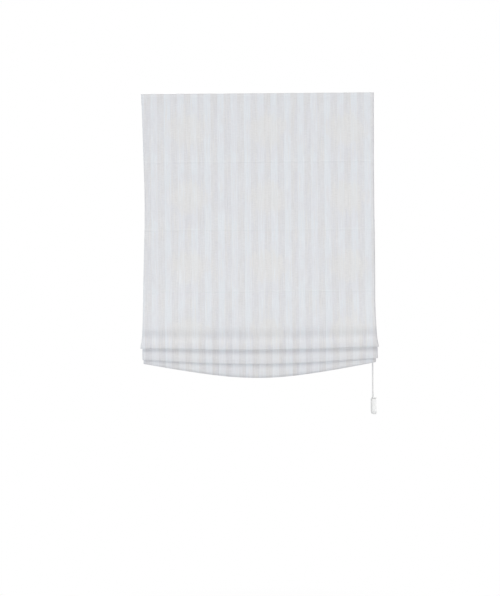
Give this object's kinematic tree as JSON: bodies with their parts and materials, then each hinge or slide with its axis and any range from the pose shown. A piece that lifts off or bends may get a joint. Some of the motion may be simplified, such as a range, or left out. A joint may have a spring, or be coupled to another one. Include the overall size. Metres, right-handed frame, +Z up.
{
  "type": "roman blind",
  "caption": "Roman blind with a striped cloth that hangs in soft sagging folds, raised by a cord loop at its right end and fixed under a window head by brackets.",
  "frame": {"origin": "middle of the four bracket screw holes, on the brackets' top faces, where they meet the head of the recess", "axes": "+X to the right as seen from the room, +Y from the room to the window, +Z up"},
  "size_m": [0.764, 0.0686, 1.035],
  "materials": {
    "rail": "white coating",
    "spring_steel": "bright zinc",
    "shaft_steel": "bright drawn",
    "white_plastic": "satin",
    "grey_plastic": "satin",
    "ring_plastic": "gloss",
    "rod": "satin",
    "tape": "woven",
    "cord": "braided",
    "cloth": "woven stripes"
  },
  "bodies": {
    "head": {"headrail": "rail", "mounting_bracket_left": "spring_steel", "mounting_bracket_right": "spring_steel", "idle_end_cap": "white_plastic", "clutch_housing": "white_plastic", "clutch_cover": "white_plastic", "brake_spring": "spring_steel", "spool_cradle_left": "white_plastic", "spool_cradle_right": "white_plastic", "hook_tape": "tape", "loop_tape": "tape", "shade_cloth": "cloth", "lift_cord_left": "cord", "lift_cord_right": "cord", "control_cord": "cord", "tensioner_base": "white_plastic", "tensioner_cover": "white_plastic", "tensioner_axle": "shaft_steel"},
    "drive": {"drive_shaft": "shaft_steel", "idle_bush": "grey_plastic", "spool_left": "grey_plastic", "spool_right": "grey_plastic", "cord_wheel": "grey_plastic"},
    "hem": {"spreader_rod": "rod", "rod_tip_left": "white_plastic", "rod_tip_right": "white_plastic", "cord_stop_left": "white_plastic", "cord_stop_right": "white_plastic", "ring_row_4": "ring_plastic", "ring_row_5": "ring_plastic"},
    "upper_rings": {"ring_row_1": "ring_plastic"},
    "middle_rings": {"ring_row_2": "ring_plastic"},
    "lower_rings": {"ring_row_3": "ring_plastic"},
    "pulley": {"tensioner_pulley": "grey_plastic"}
  },
  "joints": [
    {"name": "hem_lift", "type": "slide", "parent": "head", "child": "hem", "axis": [0, 0, 1], "range_m": [-0.545, 0.46], "deforming": ["shade_cloth", "lift_cord_left", "lift_cord_right"]},
    {"name": "shaft_turn", "type": "hinge", "parent": "head", "child": "drive", "pos_m": [0, -0.0026, -0.0166], "axis": [-1, 0, 0], "range_deg": [-3130, 2640]},
    {"name": "pulley_turn", "type": "hinge", "parent": "head", "child": "pulley", "pos_m": [0.364, -0.0026, -1.007], "axis": [-1, 0, 0], "range_deg": [-3130, 2640]},
    {"name": "upper_rings_lift", "type": "slide", "parent": "head", "child": "upper_rings", "axis": [0, 0, 1], "range_m": [-0.1, 0.085]},
    {"name": "middle_rings_lift", "type": "slide", "parent": "head", "child": "middle_rings", "axis": [0, 0, 1], "range_m": [-0.34, 0.29]},
    {"name": "lower_rings_lift", "type": "slide", "parent": "head", "child": "lower_rings", "axis": [0, 0, 1], "range_m": [-0.52, 0.44]}
  ],
  "couplings": [
    {"joint": "shaft_turn", "follows": "hem_lift", "rad_per_m": 100},
    {"joint": "pulley_turn", "follows": "hem_lift", "rad_per_m": 100},
    {"joint": "upper_rings_lift", "follows": "hem_lift", "ratio": 0.1804},
    {"joint": "middle_rings_lift", "follows": "hem_lift", "ratio": 0.6193},
    {"joint": "lower_rings_lift", "follows": "hem_lift", "ratio": 0.9474}
  ]
}
